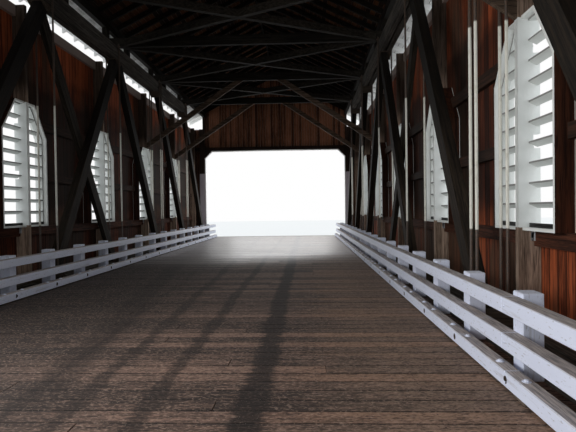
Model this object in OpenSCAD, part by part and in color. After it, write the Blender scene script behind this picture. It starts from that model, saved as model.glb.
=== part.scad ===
// Timber covered bridge: a Howe truss on each side of one roadway, boarded walls with louvered
// windows at the panel points, and a gabled roof, on two concrete abutments.
// Millimetres. The road runs along Y, +Z is up, and the origin is at the foot of the abutments,
// in the middle of the bridge. Heights called "above the deck" are measured from the deck's top.

/* [Truss] */
// Number of truss panels, odd so that one of them is the middle panel
panels = 7; // [5:2:9]
// Length of one truss panel, from one set of rods to the next
panel_length = 3960; // [3600:60:4200]
// Clear height between the lower chord and the top chord
chord_clear = 6250; // [5900:10:6600]
// Depth of the chord timbers
chord_depth = 395; // [340:5:440]
// Width of each timber in a chord
chord_ply = 140; // [120:5:160]
// Gap between two timbers of a chord, where the rods pass
chord_gap = 60; // [52:2:70]
// Length of the chords past the last panel point
chord_overrun = 350; // [320:10:420]
// Depth of the diagonal braces, in the plane of the truss
brace_depth = 290; // [240:10:300]
// Width of the main braces, across the truss
brace_width = 190; // [150:5:200]
// Distance from the truss's inner face to the main braces
brace_set = 230; // [215:5:240]
// Depth inside the chord's face at which the braces' centre lines meet
work_depth = 100; // [80:5:130]
// Distance from that meeting point to the end of a brace
block_reach = 240; // [235:5:270]
// Diameter of the truss rods
rod_d = 42; // [32:1:46]
// Half the distance between the two rods of a pair, along the road
rod_half_pitch = 105; // [102:1:120]
// Number of panel points next to each end of the bridge where the rods stand in twos
double_points = 2; // [1:1:3]
// Width of the steel plates under the nuts, along the road
plate_w = 68; // [60:1:70]
// Distance by which the steel plates pass the middle of the rods
plate_edge = 50; // [40:1:60]
// Thickness of the steel plates under the nuts
plate_t = 25; // [16:1:32]
// Height of a rod's nut
nut_h = 35; // [25:1:45]
// Width of a rod's nut, across its corners
nut_d = 66; // [60:1:68]

/* [Floor] */
// Height of the abutment's seat above its foot
stem_height = 1150; // [800:50:2500]
// Depth of the floor beams
beam_depth = 450; // [380:10:520]
// Width of the floor beams
beam_width = 320; // [300:10:360]
// Depth of the stringers
stringer_depth = 300; // [240:10:340]
// Width of the stringers
stringer_width = 150; // [120:10:180]
// Number of stringers side by side
stringer_count = 9; // [7:1:11]
// Thickness of the deck planks
deck_thick = 95; // [70:5:120]
// Gap between the deck's edge and the truss
deck_gap = 10; // [5:1:30]

/* [Guard] */
// Distance from the middle of the road to the face of the curb
road_half = 3380; // [3000:20:3700]
// Distance from the face of the curb to the truss
guard_room = 430; // [420:5:480]
// Width of the curb timber
curb_width = 140; // [120:5:200]
// Height of the curb timber
curb_depth = 135; // [120:5:180]
// Height of the blocks that hold the curb off the deck
curb_lift = 20; // [15:5:60]
// Length of the blocks under the curb
curb_block = 220; // [150:10:300]
// Distance between the two curb blocks that belong to one rail post, middle to middle
curb_block_space = 500; // [350:10:600]
// Side of the square rail posts
rail_post = 190; // [160:5:195]
// Height of the rail posts above the deck
rail_post_top = 780; // [750:10:900]
// Distance of the rail posts from the middle of a space between panel points, towards the near portal
rail_post_back = 100; // [0:10:150]
// Side of the square guard rails
rail_size = 145; // [110:5:150]
// Underside of the lower guard rail, above the deck
rail_low = 270; // [250:10:300]
// Underside of the upper guard rail, above the deck
rail_high = 595; // [560:5:600]
// Number of rail posts in one truss panel
posts_per_panel = 3; // [2:1:4]

/* [Wall] */
// Depth of the wall posts, across the wall
wall_post_depth = 290; // [240:10:330]
// Thickness of the wall posts, along the road
wall_post_thick = 90; // [70:5:100]
// Thickness of the girts
girt_thick = 90; // [60:5:100]
// Depth of the girt under the window sills
sill_girt = 210; // [150:10:240]
// Underside of the middle girt, above the deck
mid_girt_low = 2320; // [2100:20:2500]
// Depth of the middle girt
mid_girt = 190; // [150:10:240]
// Underside of the upper girt, above the deck
upper_girt_low = 3580; // [3500:20:3700]
// Depth of the upper girt
upper_girt = 220; // [150:10:240]
// Depth of the top girt
top_girt = 250; // [200:10:300]
// Distance of the wall's top below the underside of the top chord
wall_drop = 10; // [0:5:100]
// Thickness of the wall boards
board_thick = 30; // [22:1:40]
// Gap between the wall boards and the abutment's seat
board_gap = 45; // [20:5:80]

/* [Windows] */
// Half the clear width of a window
window_half = 800; // [700:10:880]
// Height of the window sill above the deck
sill_height = 1270; // [1200:10:1400]
// Height above the deck at which the window's sides slope in
window_shoulder = 3330; // [3100:10:3400]
// Height of the window's top above the deck
window_top = 4030; // [3900:10:4200]
// Distance by which each side of the window slopes in
window_inset = 450; // [350:10:500]
// Thickness of the window frame's boards
frame_board = 40; // [30:1:50]
// Depth of the window frame inward of the wall boards' inner face
frame_inset = 240; // [150:10:270]
// Distance by which the window frame stands out past the wall boards
frame_proud = 10; // [5:1:40]
// Height from one louver slat to the next
slat_pitch = 270; // [200:10:300]
// Thickness of the louver slats
slat_thick = 24; // [18:1:30]
// Depth of the louver panel, across the wall
slat_depth = 110; // [90:5:120]
// Distance of the louver panel inside the frame's outer edge
slat_set = 80; // [0:5:90]
// Height of the lowest slat's inner edge above the sill
slat_first = 35; // [30:5:120]
// Slope of the louver slats
slat_slope = 25; // [20:1:40]
// Thickness of the strips that hold the slats' ends
slat_stile = 28; // [20:1:40]

/* [Upper bracing] */
// Depth of the cross beams over the trusses
cross_depth = 290; // [240:10:330]
// Width of the cross beams
cross_width = 130; // [100:5:135]
// Depth of the diagonal braces between the cross beams
lateral_depth = 200; // [150:10:230]
// Width of the diagonal braces between the cross beams
lateral_width = 140; // [100:10:180]
// Depth of the knee braces
knee_depth = 190; // [150:10:220]
// Thickness of the knee braces
knee_thick = 90; // [70:5:100]
// Height of the knee braces' foot below the cross beams
knee_drop = 2490; // [2200:10:2600]
// Distance of the knee braces' top from the wall
knee_reach = 3710; // [3200:10:3800]
// Number of panel points next to each portal that have knee braces
knee_points = 2; // [1:1:2]

/* [Roof] */
// Pitch of the roof, in degrees
roof_pitch = 26.5; // [22:0.5:32]
// Depth of the roof plates
roof_plate_depth = 240; // [200:10:260]
// Width of the roof plates
roof_plate_width = 140; // [120:5:150]
// Length of the blocks between the top chord and the roof plates
plate_block = 200; // [150:10:300]
// Distance from a panel point to the blocks on each side of it
block_offset = 800; // [500:50:1400]
// Depth of the rafters, square to the slope
rafter_depth = 150; // [130:5:200]
// Thickness of the rafters
rafter_thick = 60; // [45:5:75]
// Number of rafter spaces in one truss panel
rafters_per_panel = 6; // [4:1:7]
// Distance by which the rafters pass the wall boards
eave_out = 230; // [200:10:500]
// Thickness of the ridge board
ridge_thick = 40; // [30:2:60]
// Thickness of the roof boards and shingles together
roof_thick = 50; // [40:2:80]
// Distance by which the roof boards pass the rafters' ends
roof_drip = 50; // [20:5:80]
// Distance by which the roof passes the portal boards
roof_overhang = 720; // [400:10:900]
// Width of each side of the ridge cap
cap_width = 190; // [140:10:250]
// Thickness of the ridge cap
cap_thick = 22; // [15:1:30]

/* [Portals] */
// Clear height of the portal above the deck
portal_height = 4930; // [4700:10:5200]
// Distance from the truss's inner face to the side of the portal
portal_room = 190; // [150:5:220]
// Size of the sloping corners of the portal
portal_corner = 380; // [300:10:600]
// Width of the portal frame's posts beside the road
portal_post = 300; // [250:10:320]
// Thickness of the boards that line the portal
lining = 50; // [25:5:60]
// Depth of the portal frame, along the road
portal_frame_depth = 140; // [100:5:180]
// Width of the portal frame's posts at the corners of the walls
corner_post = 180; // [150:5:200]
// Depth of the beam over the portal
header_depth = 200; // [150:10:300]
// Gap between the chords' ends and the portal frame
portal_gap = 10; // [5:1:30]

/* [Abutments] */
// Distance by which the abutments pass the walls at each side
abutment_side = 80; // [40:10:300]
// Distance from the last panel point to the front of the seat
seat_front = 450; // [350:10:700]
// Gap between the portal boards and the abutment's back wall
back_gap = 70; // [40:5:150]
// Thickness of the abutment's back wall
back_wall = 350; // [250:10:500]
// Gap between the deck's end and the back wall
road_joint = 10; // [5:1:30]

/* [Hidden] */
// Clearance at notches and halved joints
fit = 0.3;
// Clearance of a rod in its hole, all round
rod_play = 3;
// Clearance between the lateral braces and the plates under the nuts
lateral_clear = 10;
// Half the width of the flat top of an angle block
block_flat = 8;
// Length of thread that shows past a nut
rod_tail = 30;

half_length = panels * panel_length / 2;
middle = (panels - 1) / 2;

seat_z = stem_height;
beam_top = seat_z + beam_depth;
deck_z = beam_top + stringer_depth + deck_thick;
lower_face = beam_top + chord_depth;
upper_face = lower_face + chord_clear;
chord_top = upper_face + chord_depth;
plate_z = chord_top + cross_depth;
plate_top = plate_z + roof_plate_depth;
wall_top = upper_face - wall_drop;
board_low = seat_z + board_gap;

truss_inner = road_half + guard_room;
truss_width = 4 * chord_ply + 3 * chord_gap;
truss_outer = truss_inner + truss_width;
rod_x = [truss_inner + chord_ply + chord_gap / 2, truss_outer - chord_ply - chord_gap / 2];
top_in = rod_x[0] + chord_gap / 2;
top_out = rod_x[1] - chord_gap / 2;
plate_out = top_in + roof_plate_width;
deck_half = truss_inner - deck_gap;

brace_in = truss_inner + brace_set;
brace_out = brace_in + brace_width;
brace_angle = atan((chord_clear + 2 * work_depth) / panel_length);
brace_length = norm([panel_length, chord_clear + 2 * work_depth]) - 2 * block_reach;
block_half = (block_reach - work_depth * sin(brace_angle)) / cos(brace_angle);
block_height = (block_half - block_flat) / tan(brace_angle);

wall_in = truss_outer + wall_post_depth;
wall_out = wall_in + board_thick;
girt_in = wall_in - girt_thick;
frame_in = wall_in - frame_inset;
frame_out = wall_out + frame_proud;
frame_low = sill_height - frame_board;

portal_half = truss_inner + portal_room;
post_in = portal_half + lining;
portal_in = half_length + chord_overrun + portal_gap;
portal_mid = portal_in + portal_frame_depth;
portal_out = portal_mid + board_thick;
roof_end = portal_out + roof_overhang;
road_end = portal_out + back_gap - road_joint;

eave_half = wall_out + eave_out;
lateral_half = rod_x[0] - plate_edge - lateral_clear;
knee_angle = atan(knee_drop / knee_reach);
rafter_pitch = panel_length / rafters_per_panel;
rafter_rise = rafter_depth / cos(roof_pitch);
roof_rise = roof_thick / cos(roof_pitch);
cap_rise = cap_thick / cos(roof_pitch);

// Place of a panel point along the road
function point_y(i) = (i - panels / 2) * panel_length;
// Underside of the rafters and underside of the roof boards, at a distance from the middle
function rafter_low(x) = plate_top + (top_in - x) * tan(roof_pitch);
function rafter_high(x) = rafter_low(x) + rafter_rise;
// Inner face of a timber in a chord, numbered from the road outward
function ply_x(k) = truss_inner + k * (chord_ply + chord_gap);
// Sides of a panel point on which rods stand: both near the ends, else the one towards the middle
function rod_sides(i) = min(i, panels - i) <= double_points ? [-1, 1] : [i < panels / 2 ? 1 : -1];

// A profile drawn in X and Z, made long from y0 to y1
module along_road(y0, y1) {
    translate([0, y1, 0]) rotate([90, 0, 0]) linear_extrude(y1 - y0) children();
}

// A profile drawn in Y and Z, made wide from x0 to x1
module across(x0, x1) {
    translate([x0, 0, 0]) rotate([90, 0, 90]) linear_extrude(x1 - x0) children();
}

// A box from its low corner to its high corner
module block(low, high) {
    translate(low) cube(high - low);
}

// The right side is drawn; the left side is its mirror image
module on_side(side) {
    if (side < 0) mirror([1, 0, 0]) children();
    else children();
}

module both_sides() {
    on_side(-1) children();
    on_side(1) children();
}

// The far end is drawn; the near end is its mirror image
module at_end(end) {
    if (end < 0) mirror([0, 1, 0]) children();
    else children();
}

// Outline of a window in Y and Z, grown on all sides by g
module window_outline(g = 0) {
    lean = atan(window_inset / (window_top - window_shoulder));
    side = window_half + g;
    shoulder = window_shoulder + g * tan(lean / 2);
    tip = window_half - window_inset + g * tan((90 - lean) / 2);
    translate([0, deck_z]) polygon([
        [-side, sill_height - g], [side, sill_height - g], [side, shoulder],
        [tip, window_top + g], [-tip, window_top + g], [-side, shoulder]
    ]);
}

// Outline of the portal in X and Z from a given foot, grown at the sides and top by g
module portal_outline(g, foot) {
    side = portal_half + g;
    top = deck_z + portal_height + g;
    slope = portal_corner + g * (1 - tan(22.5));
    polygon([
        [-side, foot], [side, foot], [side, top - slope], [side - slope, top],
        [slope - side, top], [-side, top - slope]
    ]);
}

module each_window() {
    for (i = [1 : panels - 1]) translate([0, point_y(i), 0]) children();
}

// Abutment: a solid stem with the bridge seat on top and a back wall up to the road
module abutment(end) {
    half = wall_out + abutment_side;
    wall_y = portal_out + back_gap;
    color("#a9a59b") at_end(end) across(-half, half) polygon([
        [half_length - seat_front, 0], [wall_y + back_wall, 0],
        [wall_y + back_wall, deck_z], [wall_y, deck_z],
        [wall_y, seat_z], [half_length - seat_front, seat_z]
    ]);
}

// Floor beams hung on the rods at the panel points; those at the ends lie on the seats
module floor_beams() {
    color("#5a4a3e") for (i = [0 : panels]) difference() {
        translate([0, point_y(i), 0])
            block([-truss_outer, -beam_width / 2, seat_z], [truss_outer, beam_width / 2, beam_top]);
        if (i > 0 && i < panels) rod_holes(i, seat_z - 1, beam_top + 1);
    }
}

// Holes for the rods at a panel point, on both sides of the road
module rod_holes(i, z0, z1) {
    both_sides() for (x = rod_x, s = rod_sides(i))
        translate([x, point_y(i) + s * rod_half_pitch, z0])
            cylinder(h = z1 - z0, d = rod_d + 2 * rod_play, $fn = 24);
}

module stringers() {
    reach = deck_half - stringer_width;
    spacing = 2 * (reach - stringer_width / 2) / (stringer_count - 1);
    color("#54463b") for (k = [0 : stringer_count - 1]) {
        x = (k - (stringer_count - 1) / 2) * spacing;
        block([x - stringer_width / 2, -road_end, beam_top],
            [x + stringer_width / 2, road_end, beam_top + stringer_depth]);
    }
}

// The deck is wider past the trusses' ends, where it fills the portals
module deck() {
    wide = portal_half - deck_gap;
    color("#6d5a50") {
        block([-deck_half, -road_end, deck_z - deck_thick], [deck_half, road_end, deck_z]);
        for (end = [-1, 1]) at_end(end)
            block([-wide, portal_in, deck_z - deck_thick], [wide, road_end, deck_z]);
    }
}

// Timbers side by side, first to last, with gaps that let the rods through
module chord(first, last, z0, half) {
    color("#55483d") for (k = [first : last])
        block([ply_x(k), -half, z0], [ply_x(k) + chord_ply, half, z0 + chord_depth]);
}

module lower_chord(side) {
    on_side(side) chord(0, 3, beam_top, half_length + chord_overrun);
}

// The top chord has the two middle timbers only, and the rods pass along its faces
module top_chord(side) {
    on_side(side) chord(1, 2, upper_face, half_length - panel_length + chord_overrun);
}

// One diagonal stick of a panel, square at both ends, rising along +Y where rise is 1
module diagonal(panel, rise, x0, x1) {
    translate([0, point_y(panel + 0.5), lower_face + chord_clear / 2])
        rotate([rise * brace_angle, 0, 0])
            block([x0, -brace_length / 2, -brace_depth / 2], [x1, brace_length / 2, brace_depth / 2]);
}

// Main braces rise towards the middle of the bridge
module main_braces(side) {
    color("#5c4f44") on_side(side) for (p = [0 : panels - 1])
        diagonal(p, p <= middle ? 1 : -1, brace_in, brace_out);
}

// The middle panel's second diagonal, a thinner stick that passes outside the main brace
module counter_braces() {
    color("#57493f") both_sides() diagonal(middle, -1, brace_out, top_out);
}

// Angle blocks under the braces' ends: a bar across the chord with a sloping face each way
module angle_blocks() {
    color("#4c4037") {
        difference() {
            both_sides() for (i = [0 : panels]) angle_block(i, truss_inner, truss_outer, lower_face, 1);
            for (i = [1 : panels - 1]) rod_holes(i, lower_face - 1, lower_face + block_height + 1);
        }
        both_sides() for (i = [1 : panels - 1]) angle_block(i, top_in, top_out, upper_face, -1);
    }
}

module angle_block(i, x0, x1, face, up) {
    translate([0, point_y(i), face]) across(x0, x1) polygon([
        [-block_half, 0], [block_half, 0],
        [block_flat, up * block_height], [-block_flat, up * block_height]
    ]);
}

// Steel rods from under the floor beams to over the top chord, with a nut at each end
module truss_rods() {
    color("#8d8c88") both_sides() for (i = [1 : panels - 1], x = rod_x, s = rod_sides(i))
        translate([x, point_y(i) + s * rod_half_pitch, 0]) {
            low = seat_z - plate_t;
            high = chord_top + plate_t;
            translate([0, 0, low - nut_h - rod_tail])
                cylinder(h = high - low + 2 * (nut_h + rod_tail), d = rod_d, $fn = 24);
            translate([0, 0, low - nut_h]) cylinder(h = nut_h, d = nut_d, $fn = 6);
            translate([0, 0, high]) cylinder(h = nut_h, d = nut_d, $fn = 6);
        }
}

// Steel plates under the nuts: each joins two rods over the top chord or under the floor beam
module rod_plates() {
    color("#6f6a64") difference() {
        both_sides() for (i = [1 : panels - 1], s = rod_sides(i), z = [seat_z - plate_t, chord_top])
            translate([0, point_y(i) + s * rod_half_pitch, z])
                block([rod_x[0] - plate_edge, -plate_w / 2, 0],
                    [rod_x[1] + plate_edge, plate_w / 2, plate_t]);
        for (i = [1 : panels - 1]) rod_holes(i, seat_z - plate_t - 1, chord_top + plate_t + 1);
    }
}

// Beams across the road on the two top chords, beside the rods, their ends kept under the rafters
module cross_beams() {
    color("#5b4e43") for (i = [1 : panels - 1]) translate([0, point_y(i), 0])
        along_road(-cross_width / 2, cross_width / 2) intersection() {
            translate([-top_out, chord_top]) square([2 * top_out, cross_depth]);
            polygon([
                [-top_out, chord_top], [top_out, chord_top], [top_out, rafter_low(top_out) - fit],
                [0, rafter_low(0) - fit], [-top_out, rafter_low(top_out) - fit]
            ]);
        }
}

// Level X braces between the cross beams: one stick whole, the other in two halves
module lateral_braces() {
    run = panel_length - cross_width;
    color("#594c42") for (p = [1 : panels - 2])
        translate([0, point_y(p + 0.5), chord_top]) linear_extrude(lateral_depth) {
            lateral(run, 1);
            difference() {
                lateral(run, -1);
                lateral(run, 1, fit);
            }
        }
}

module lateral(run, turn, grow = 0) {
    angle = turn * atan(run / (2 * lateral_half));
    intersection() {
        rotate(angle) square([4 * lateral_half, lateral_width + 2 * grow], center = true);
        square([2 * lateral_half, run], center = true);
    }
}

// Knee braces from a wall post up to the cross beam, passing between the rods
module knee_braces() {
    foot = chord_top - knee_drop;
    foot_half = knee_depth / cos(knee_angle) / 2;
    top_half = knee_depth / sin(knee_angle) / 2;
    top_x = truss_outer - knee_reach;
    color("#5e5146") both_sides() for (k = [1 : knee_points], i = [k, panels - k])
        translate([0, point_y(i), 0]) along_road(-knee_thick / 2, knee_thick / 2) polygon([
            [truss_outer, foot - foot_half], [truss_outer, foot + foot_half],
            [top_x + top_half, chord_top], [top_x - top_half, chord_top]
        ]);
}

// Heights of the girts: lowest edge above the deck and depth
function girt_rows() = [
    [frame_low - sill_girt, sill_girt],
    [mid_girt_low, mid_girt],
    [upper_girt_low, upper_girt],
    [wall_top - deck_z - top_girt, top_girt]
];

module girt_line(row, grow = 0) {
    block([girt_in - grow, -portal_in, deck_z + row[0] - grow],
        [wall_in, portal_in, deck_z + row[0] + row[1] + grow]);
}

// Wall posts: planks on edge against the lower chord, notched over the girts
module wall_posts(side) {
    half = wall_post_thick / 2;
    color("#5a4d43") on_side(side) difference() {
        for (i = [0 : panels]) translate([0, point_y(i), 0])
            block([truss_outer, -half, seat_z], [wall_in, half, wall_top]);
        for (row = girt_rows()) girt_line(row, fit);
    }
}

// Girts run the whole wall; the middle and upper ones stop at the window frames
module girts(side) {
    color("#6a5344") on_side(side) difference() {
        for (row = girt_rows()) girt_line(row);
        each_window() across(girt_in - 1, wall_in + 1) window_outline(frame_board);
    }
}

// Wall boards, cut through at each window
module siding(side) {
    color("#7a5443") on_side(side) difference() {
        block([wall_in, -portal_out, board_low], [wall_out, portal_out, wall_top]);
        each_window() across(wall_in - 1, wall_out + 1) window_outline(frame_board);
    }
}

// Window frames: five boards round the opening, notched over the wall post
module window_frames(side) {
    color("#eceeec") on_side(side) each_window() difference() {
        across(frame_in, frame_out) difference() {
            window_outline(frame_board);
            window_outline();
        }
        post_notch();
    }
}

module post_notch() {
    half = wall_post_thick / 2 + fit;
    block([frame_in - 1, -half, deck_z], [wall_in + fit, half, wall_top]);
}

// Louver panels: sloping slats held at their ends by a strip that follows the frame
module louvers(side) {
    outer = frame_out - slat_set;
    inner = outer - slat_depth;
    drop = slat_depth * tan(slat_slope);
    rows = 1 + floor((window_top - sill_height - slat_first - slat_stile) / slat_pitch);
    color("#f1f3f1") on_side(side) each_window() difference() {
        intersection() {
            union() {
                across(inner, outer) difference() {
                    window_outline();
                    window_outline(-slat_stile);
                }
                for (k = [0 : rows - 1]) {
                    z = deck_z + sill_height + slat_first + k * slat_pitch;
                    along_road(-window_half, window_half) polygon([
                        [inner, z], [outer, z - drop],
                        [outer, z - drop + slat_thick], [inner, z + slat_thick]
                    ]);
                }
            }
            across(inner, outer) window_outline();
        }
        post_notch();
    }
}

// Curbs: one long timber a side, lifted off the deck by two short blocks at each rail post
module curbs() {
    end = half_length + chord_overrun;
    color("#b9b4aa") both_sides() {
        block([road_half, -end, deck_z + curb_lift],
            [road_half + curb_width, end, deck_z + curb_lift + curb_depth]);
        for (y = post_places(), back = [0, curb_block_space]) translate([0, y - back, deck_z])
            block([road_half, -curb_block / 2, 0], [road_half + curb_width, curb_block / 2, curb_lift + 1]);
    }
}

// Rail posts stand about half a space off the panel points, so that they clear the braces' feet
function post_places() = [
    for (k = [1 : panels * posts_per_panel])
        -half_length + (k - 0.5) * panel_length / posts_per_panel - rail_post_back
];

// Rail posts stand on the deck's edge, beside the truss
module rail_posts() {
    color("#c4c4c0") both_sides() for (y = post_places()) translate([0, y, deck_z])
        block([deck_half - rail_post, -rail_post / 2, 0], [deck_half, rail_post / 2, rail_post_top]);
}

// Two rails a side on the road face of the posts
module guard_rails() {
    end = half_length + chord_overrun;
    face = deck_half - rail_post;
    color("#d2d3d0") both_sides() for (z = [rail_low, rail_high])
        block([face - rail_size, -end, deck_z + z], [face, end, deck_z + z + rail_size]);
}

// Roof plates lie on the cross beams, over the inner timbers of the top chords
module roof_plates() {
    color("#574a40") both_sides()
        block([top_in, -roof_end, plate_z], [plate_out, roof_end, plate_top]);
}

// Blocks on the top chord that carry the roof plates between the cross beams
module plate_blocks() {
    color("#4f4339") both_sides()
        for (p = [1 : panels - 2], y = [point_y(p) + block_offset, point_y(p + 1) - block_offset])
            translate([0, y, chord_top])
                block([top_in, -plate_block / 2, 0], [plate_out, plate_block / 2, cross_depth]);
}

// Places of the rafters: at even spaces, one at each portal and one at each end of the roof
function rafter_places() = concat(
    [for (k = [0 : panels * rafters_per_panel]) -half_length + k * rafter_pitch],
    [for (s = [-1, 1], y = [portal_mid, roof_end]) s * (y - rafter_thick / 2)]
);

// Rafters, each with a level seat cut over the roof plate
module rafters(side) {
    color("#4d4239") on_side(side) for (y = rafter_places())
        along_road(y - rafter_thick / 2, y + rafter_thick / 2) polygon([
            [ridge_thick / 2, rafter_low(ridge_thick / 2)], [top_in, plate_top],
            [plate_out, plate_top], [plate_out, rafter_low(plate_out)],
            [eave_half, rafter_low(eave_half)], [eave_half, rafter_high(eave_half)],
            [ridge_thick / 2, rafter_high(ridge_thick / 2)]
        ]);
}

module ridge_outline() {
    half = ridge_thick / 2;
    translate([-half, rafter_low(half)]) square([ridge_thick, rafter_rise]);
}

module ridge_board() {
    color("#4d4239") along_road(-roof_end, roof_end) ridge_outline();
}

// Roof boards and shingles of one slope, as one slab
module roof_slope(side) {
    eave = eave_half + roof_drip;
    color("#6b665f") on_side(side) along_road(-roof_end, roof_end) polygon([
        [0, rafter_high(0)], [eave, rafter_high(eave)],
        [eave, rafter_high(eave) + roof_rise], [0, rafter_high(0) + roof_rise]
    ]);
}

module ridge_cap() {
    top = rafter_high(0) + roof_rise;
    edge = rafter_high(cap_width) + roof_rise;
    color("#5f5a54") along_road(-roof_end, roof_end) polygon([
        [-cap_width, edge], [0, top], [cap_width, edge],
        [cap_width, edge + cap_rise], [0, top + cap_rise], [-cap_width, edge + cap_rise]
    ]);
}

// Portal frame: wide posts beside the road whose inner part runs up to carry the roof plates,
// posts at the wall corners, and a beam over the portal
module portal_frame(end) {
    header = deck_z + portal_height + lining;
    color("#5d5045") at_end(end) along_road(portal_in, portal_mid) difference() {
        union() {
            for (s = [0, 1]) mirror([s, 0]) {
                translate([post_in, seat_z]) square([portal_post, wall_top - seat_z]);
                translate([post_in, seat_z]) square([plate_out - post_in, plate_z - seat_z]);
                translate([wall_in - corner_post, seat_z]) square([corner_post, wall_top - seat_z]);
            }
            translate([-wall_in, header]) square([2 * wall_in, header_depth]);
            translate([-post_in - 1, header - portal_corner])
                square([2 * post_in + 2, portal_corner + 1]);
        }
        portal_outline(lining, seat_z - 1);
    }
}

// Portal boards: the end wall from the seat to the roof, cut round the portal, and open under
// the eaves as the side walls are
module portal_boards(end) {
    color("#8a6a55") at_end(end) along_road(portal_mid, portal_out) difference() {
        polygon([
            [-wall_in, board_low], [wall_in, board_low], [wall_in, wall_top],
            [plate_out, wall_top], [plate_out, rafter_high(plate_out)], [0, rafter_high(0)],
            [-plate_out, rafter_high(plate_out)], [-plate_out, wall_top], [-wall_in, wall_top]
        ]);
        portal_outline(lining, board_low - 1);
        ridge_outline();
        for (s = [0, 1]) mirror([s, 0]) translate([top_in, plate_z])
            square([roof_plate_width + 1, roof_plate_depth]);
    }
}

// White boards that line each portal
module portal_lining() {
    color("#f0f0ee") for (end = [-1, 1]) at_end(end) along_road(portal_in, portal_out) difference() {
        portal_outline(lining, deck_z);
        portal_outline(0, deck_z - 1);
    }
}

abutment(-1);  // abutment_near
abutment(1);  // abutment_far
floor_beams();
stringers();
deck();
lower_chord(-1);  // lower_chord_left
lower_chord(1);  // lower_chord_right
top_chord(-1);  // top_chord_left
top_chord(1);  // top_chord_right
main_braces(-1);  // main_braces_left
main_braces(1);  // main_braces_right
counter_braces();
angle_blocks();
truss_rods();
rod_plates();
cross_beams();
lateral_braces();
knee_braces();
wall_posts(-1);  // wall_posts_left
wall_posts(1);  // wall_posts_right
girts(-1);  // girts_left
girts(1);  // girts_right
siding(-1);  // siding_left
siding(1);  // siding_right
window_frames(-1);  // window_frames_left
window_frames(1);  // window_frames_right
louvers(-1);  // louvers_left
louvers(1);  // louvers_right
curbs();
rail_posts();
guard_rails();
roof_plates();
plate_blocks();
rafters(-1);  // rafters_left
rafters(1);  // rafters_right
ridge_board();
roof_slope(-1);  // roof_left
roof_slope(1);  // roof_right
ridge_cap();
portal_frame(-1);  // portal_frame_near
portal_frame(1);  // portal_frame_far
portal_boards(-1);  // portal_boards_near
portal_boards(1);  // portal_boards_far
portal_lining();
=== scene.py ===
import math
import random

import bpy
from mathutils import Matrix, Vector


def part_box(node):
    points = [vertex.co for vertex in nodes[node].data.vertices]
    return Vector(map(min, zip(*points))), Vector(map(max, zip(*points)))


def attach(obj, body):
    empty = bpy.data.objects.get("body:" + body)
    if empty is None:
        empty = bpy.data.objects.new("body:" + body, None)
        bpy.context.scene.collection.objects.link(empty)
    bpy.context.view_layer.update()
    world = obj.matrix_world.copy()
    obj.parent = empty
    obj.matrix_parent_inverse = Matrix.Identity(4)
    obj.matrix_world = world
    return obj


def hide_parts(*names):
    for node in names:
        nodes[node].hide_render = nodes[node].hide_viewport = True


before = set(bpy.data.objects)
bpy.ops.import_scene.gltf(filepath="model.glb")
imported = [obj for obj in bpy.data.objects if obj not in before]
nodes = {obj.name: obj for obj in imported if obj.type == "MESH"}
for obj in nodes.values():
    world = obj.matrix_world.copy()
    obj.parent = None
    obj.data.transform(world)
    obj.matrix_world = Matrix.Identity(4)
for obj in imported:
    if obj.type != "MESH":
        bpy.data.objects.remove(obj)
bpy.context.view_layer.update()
bpy.ops.object.select_all(action="DESELECT")
random.seed(7)

# Camera: at eye height on the right of the road, just inside the near portal, turned a little
# to the left, tipped a little down and held slightly out of level.
scene = bpy.context.scene
deck_low, deck_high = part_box("deck")
deck_z = deck_high.z
eye_height = 1.55
turned_left, tipped_down, out_of_level = 0.0373, 0.0144, 0.0136
camera = bpy.data.objects.new("camera", bpy.data.cameras.new("camera"))
camera.data.lens = 28.75
camera.data.sensor_width = 36
camera.data.clip_end = 300
camera.matrix_world = (
    Matrix.Translation((1.71, -12.22, deck_z + eye_height))
    @ Matrix.Rotation(turned_left, 4, "Z")
    @ Matrix.Rotation(math.pi / 2 - tipped_down, 4, "X")
    @ Matrix.Rotation(-out_of_level, 4, "Z")
)
scene.collection.objects.link(camera)
scene.camera = camera
scene.view_settings.view_transform = "Standard"

# Daylight: a pale overcast sky that comes in at both portals, the windows and the eaves, with
# soft lamps outside the portals and long ones inside, for the light that the deck and the
# boards throw back. The sky is plain white where it is seen or mirrored.
world = bpy.data.worlds.new("sky")
scene.world = world
world.use_nodes = True
sky = world.node_tree
path = sky.nodes.new("ShaderNodeLightPath")
seen = path.outputs["Is Camera Ray"]
for ray in ("Is Transmission Ray", "Is Glossy Ray"):
    either = sky.nodes.new("ShaderNodeMath")
    either.operation = "MAXIMUM"
    sky.links.new(seen, either.inputs[0])
    sky.links.new(path.outputs[ray], either.inputs[1])
    seen = either.outputs[0]
daylight = sky.nodes["Background"]
daylight.inputs["Color"].default_value = (0.93, 0.97, 1.0, 1.0)
daylight.inputs["Strength"].default_value = 1.0
white = sky.nodes.new("ShaderNodeBackground")
white.inputs["Color"].default_value = (1, 1, 1, 1)
both = sky.nodes.new("ShaderNodeMixShader")
for socket, source in enumerate((seen, daylight.outputs[0], white.outputs[0])):
    sky.links.new(source, both.inputs[socket])
sky.links.new(both.outputs[0], sky.nodes["World Output"].inputs["Surface"])

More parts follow.
